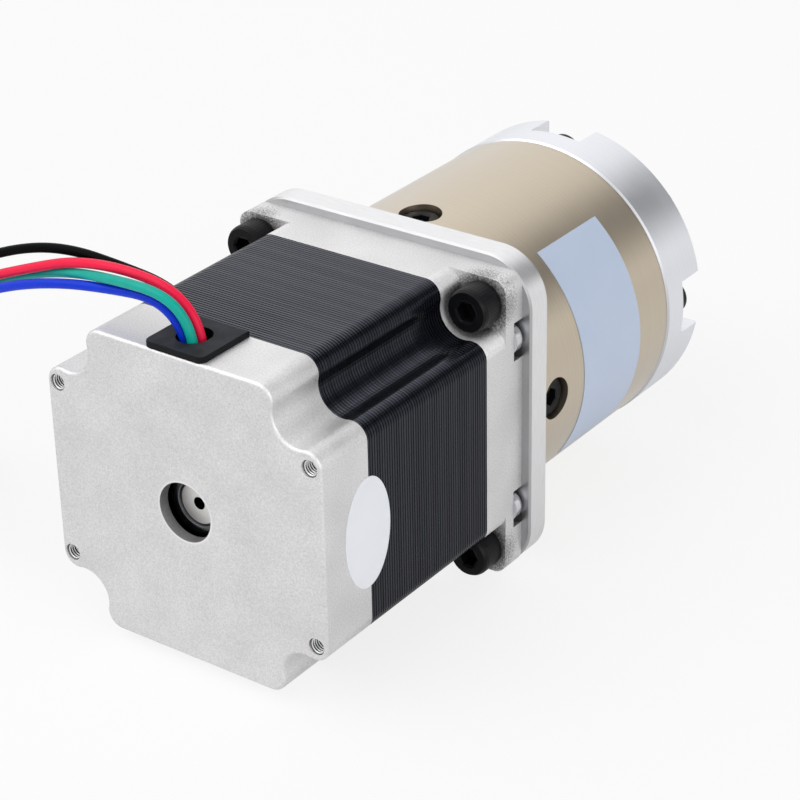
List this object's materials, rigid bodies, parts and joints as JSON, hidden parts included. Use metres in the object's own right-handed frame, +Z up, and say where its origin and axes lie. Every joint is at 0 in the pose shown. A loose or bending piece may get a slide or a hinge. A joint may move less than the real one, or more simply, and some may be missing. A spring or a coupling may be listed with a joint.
{
  "type": "planetary geared stepper motor",
  "caption": "Square stepper motor with a round planetary gearbox on an adapter plate, a keyed output shaft, a piloted front face and loose lead wires at the rear.",
  "frame": {"origin": "centre of the gearbox's front mounting face, on the output axis", "axes": "+Y along the output axis, out of the gearbox; +Z up, through the lead grommet; +X to the right seen from the motor's rear"},
  "size_m": [0.1297, 0.1476, 0.0681],
  "materials": {
    "cast_aluminium": "sand-blasted die casting",
    "lamination": "black lacquered laminations",
    "insulator": "moulded",
    "copper": "enamelled copper wire",
    "grommet_rubber": "matte",
    "bright_screw": "zinc plated",
    "black_screw": "black oxide",
    "ground_steel": "ground",
    "rotor_steel": "stacked laminations",
    "magnet": "ground magnet",
    "bearing_steel": "polished bearing steel",
    "spring_steel": "rolled",
    "adapter_aluminium": "satin, bright edges",
    "flange_aluminium": "fine turned",
    "champagne_plate": "champagne plated, fine turned",
    "gear_steel": "hardened",
    "dark_shaft_steel": "black oxide, ground",
    "seal_rubber": "matte",
    "label_paper": "smooth, bare",
    "wire_blue": "gloss",
    "wire_green": "gloss",
    "wire_red": "gloss",
    "wire_black": "gloss",
    "tie_nylon": "nylon",
    "tinned_copper": "tinned"
  },
  "bodies": {
    "motor_frame": {"rear_end_cap": "cast_aluminium", "lead_grommet": "grommet_rubber", "stator_stack": "lamination", "rear_insulator": "insulator", "front_insulator": "insulator", "phase_windings": "copper", "front_end_cap": "cast_aluminium", "through_screws": "bright_screw", "flange_bolts": "black_screw", "rear_bearing_outer_ring": "bearing_steel", "front_bearing_outer_ring": "bearing_steel", "wave_washer": "spring_steel", "adapter_plate": "adapter_aluminium", "ring_gear_housing": "champagne_plate", "housing_screws": "black_screw", "thrust_washer": "ground_steel", "front_flange": "flange_aluminium", "front_flange_screws": "black_screw", "output_bearing_rear_outer_ring": "bearing_steel", "output_bearing_front_outer_ring": "bearing_steel", "shaft_seal": "seal_rubber", "rating_label": "label_paper", "oval_label": "label_paper", "lead_blue": "wire_blue", "lead_green": "wire_green", "lead_red": "wire_red", "lead_black": "wire_black", "lead_coil": "wire_black", "coil_tie": "tie_nylon", "lead_tips": "tinned_copper"},
    "rotor": {"motor_shaft": "ground_steel", "rotor_stack_rear": "rotor_steel", "rotor_magnet": "magnet", "rotor_stack_front": "rotor_steel", "rear_bearing_inner_ring": "bearing_steel", "front_bearing_inner_ring": "bearing_steel", "sun_pinion": "gear_steel"},
    "first_carrier": {"first_carrier": "gear_steel", "first_planet_pins": "ground_steel", "second_sun_gear": "gear_steel"},
    "output": {"output_shaft": "dark_shaft_steel", "second_planet_pins": "ground_steel", "shaft_circlip": "black_screw", "output_bearing_rear_inner_ring": "bearing_steel", "output_bearing_front_inner_ring": "bearing_steel"},
    "first_planet_1": {"first_planet_1": "gear_steel"},
    "first_planet_2": {"first_planet_2": "gear_steel"},
    "first_planet_3": {"first_planet_3": "gear_steel"},
    "second_planet_1": {"second_planet_1": "gear_steel"},
    "second_planet_2": {"second_planet_2": "gear_steel"},
    "second_planet_3": {"second_planet_3": "gear_steel"},
    "rear_bearing_rolling_set": {"rear_bearing_balls": "bearing_steel", "rear_bearing_cage": "bearing_steel"},
    "front_bearing_rolling_set": {"front_bearing_balls": "bearing_steel", "front_bearing_cage": "bearing_steel"},
    "output_bearing_rear_rolling_set": {"output_bearing_rear_balls": "bearing_steel", "output_bearing_rear_cage": "bearing_steel"},
    "output_bearing_front_rolling_set": {"output_bearing_front_balls": "bearing_steel", "output_bearing_front_cage": "bearing_steel"}
  },
  "joints": [
    {"name": "rotor_spin", "type": "hinge", "parent": "motor_frame", "child": "rotor", "pos_m": [0, 0, 0], "axis": [0, 1, 0], "continuous": true},
    {"name": "first_carrier_spin", "type": "hinge", "parent": "motor_frame", "child": "first_carrier", "pos_m": [0, 0, 0], "axis": [0, 1, 0], "continuous": true},
    {"name": "output_spin", "type": "hinge", "parent": "motor_frame", "child": "output", "pos_m": [0, 0, 0], "axis": [0, 1, 0], "continuous": true},
    {"name": "first_planet_1_spin", "type": "hinge", "parent": "first_carrier", "child": "first_planet_1", "pos_m": [0, 0, 0.0135], "axis": [0, 1, 0], "continuous": true},
    {"name": "first_planet_2_spin", "type": "hinge", "parent": "first_carrier", "child": "first_planet_2", "pos_m": [-0.01169, 0, -0.00675], "axis": [0, 1, 0], "continuous": true},
    {"name": "first_planet_3_spin", "type": "hinge", "parent": "first_carrier", "child": "first_planet_3", "pos_m": [0.01169, 0, -0.00675], "axis": [0, 1, 0], "continuous": true},
    {"name": "second_planet_1_spin", "type": "hinge", "parent": "output", "child": "second_planet_1", "pos_m": [0, 0, 0.01215], "axis": [0, 1, 0], "continuous": true},
    {"name": "second_planet_2_spin", "type": "hinge", "parent": "output", "child": "second_planet_2", "pos_m": [-0.01052, 0, -0.00607], "axis": [0, 1, 0], "continuous": true},
    {"name": "second_planet_3_spin", "type": "hinge", "parent": "output", "child": "second_planet_3", "pos_m": [0.01052, 0, -0.00607], "axis": [0, 1, 0], "continuous": true},
    {"name": "rear_bearing_roll", "type": "hinge", "parent": "motor_frame", "child": "rear_bearing_rolling_set", "pos_m": [0, 0, 0], "axis": [0, 1, 0], "continuous": true},
    {"name": "front_bearing_roll", "type": "hinge", "parent": "motor_frame", "child": "front_bearing_rolling_set", "pos_m": [0, 0, 0], "axis": [0, 1, 0], "continuous": true},
    {"name": "output_bearing_rear_roll", "type": "hinge", "parent": "motor_frame", "child": "output_bearing_rear_rolling_set", "pos_m": [0, 0, 0], "axis": [0, 1, 0], "continuous": true},
    {"name": "output_bearing_front_roll", "type": "hinge", "parent": "motor_frame", "child": "output_bearing_front_rolling_set", "pos_m": [0, 0, 0], "axis": [0, 1, 0], "continuous": true}
  ],
  "couplings": [
    {"joint": "first_carrier_spin", "follows": "rotor_spin", "ratio": 0.3},
    {"joint": "output_spin", "follows": "rotor_spin", "ratio": 0.066667},
    {"joint": "first_planet_1_spin", "follows": "rotor_spin", "ratio": -1.05},
    {"joint": "first_planet_2_spin", "follows": "rotor_spin", "ratio": -1.05},
    {"joint": "first_planet_3_spin", "follows": "rotor_spin", "ratio": -1.05},
    {"joint": "second_planet_1_spin", "follows": "rotor_spin", "ratio": -0.18667},
    {"joint": "second_planet_2_spin", "follows": "rotor_spin", "ratio": -0.18667},
    {"joint": "second_planet_3_spin", "follows": "rotor_spin", "ratio": -0.18667},
    {"joint": "rear_bearing_roll", "follows": "rotor_spin", "ratio": 0.368},
    {"joint": "front_bearing_roll", "follows": "rotor_spin", "ratio": 0.368},
    {"joint": "output_bearing_rear_roll", "follows": "rotor_spin", "ratio": 0.027481},
    {"joint": "output_bearing_front_roll", "follows": "rotor_spin", "ratio": 0.027481}
  ]
}
